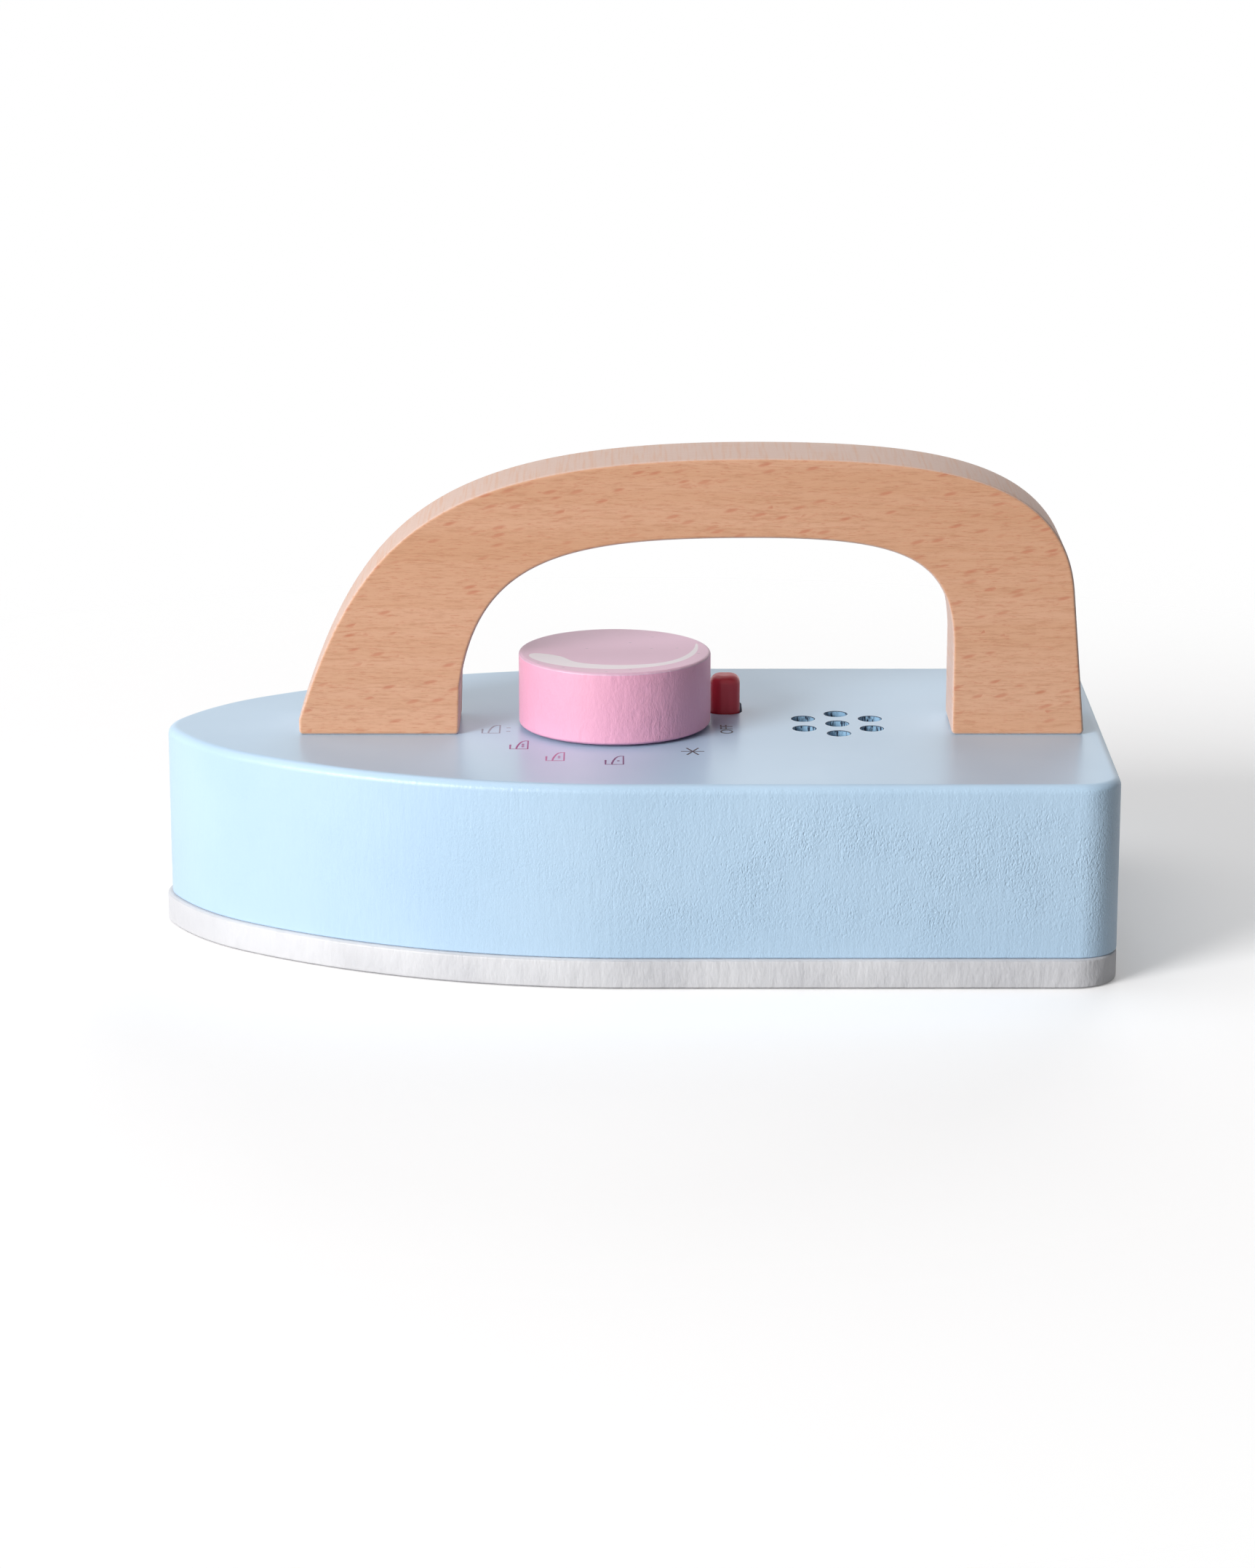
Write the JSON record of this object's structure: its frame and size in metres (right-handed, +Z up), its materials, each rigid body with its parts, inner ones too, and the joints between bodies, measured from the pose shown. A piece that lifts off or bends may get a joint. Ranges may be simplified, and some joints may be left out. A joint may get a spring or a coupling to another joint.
{
  "type": "toy iron",
  "caption": "Wooden toy clothes iron with a beech arch handle, turning heat dial, slide switch, sound holes and a battery sound unit inside the body.",
  "frame": {"origin": "on the underside of the sole, at the middle of the whole length and width", "axes": "+X from the nose to the heel, +Y across the iron towards the far side of the pictured view, +Z up through the handle"},
  "size_m": [0.1608, 0.083, 0.0823],
  "materials": {
    "body_paint": "satin pale blue paint over wood",
    "sole_paint": "satin off-white paint over plywood",
    "beech": "sanded beech with a clear oil finish",
    "dial_paint": "satin pink paint over wood",
    "cap_red": "moulded, satin",
    "switch_black": "moulded",
    "case_plastic": "moulded",
    "steel": "zinc plated",
    "contact_brass": "stamped",
    "fibre": "pressed fibre",
    "board_green": "solder resist",
    "chip_black": "epoxy",
    "capacitor_sleeve": "shrink sleeve",
    "resistor_body": "lacquer",
    "foam": "adhesive foam",
    "cone_film": "polyester film",
    "lead_red": "insulation",
    "lead_black": "insulation",
    "cell_can": "film sleeve over a steel can"
  },
  "bodies": {
    "root": {"body_block": "body_paint", "sole_plate": "sole_paint", "handle": "beech", "handle_screws": "steel", "sole_screws": "steel", "glide_washer": "fibre", "switch_can": "steel", "switch_base": "fibre", "switch_terminals": "contact_brass", "circuit_board": "board_green", "board_spacers": "case_plastic", "board_screws": "steel", "sound_chip": "chip_black", "capacitor": "capacitor_sleeve", "resistors": "resistor_body", "speaker_gasket": "foam", "speaker_cone": "cone_film", "speaker_frame": "steel", "speaker_magnet": "steel", "speaker_leads": "lead_red", "battery_box": "case_plastic", "battery_door": "case_plastic", "door_screw": "steel", "box_screws": "steel", "battery_cells": "cell_can", "battery_springs": "steel", "contact_plates": "steel", "battery_leads": "lead_black"},
    "dial": {"dial_knob": "dial_paint", "dial_spindle": "steel", "dial_washer": "steel"},
    "switch": {"switch_cap": "cap_red", "switch_lever": "switch_black", "switch_contact": "contact_brass"}
  },
  "joints": [
    {"name": "dial_turn", "type": "hinge", "parent": "root", "child": "dial", "pos_m": [-0.003, 0, 0.035], "axis": [0, 0, 1], "continuous": true},
    {"name": "switch_slide", "type": "slide", "parent": "root", "child": "switch", "axis": [0, 1, 0], "range_m": [0, 0.004]}
  ]
}
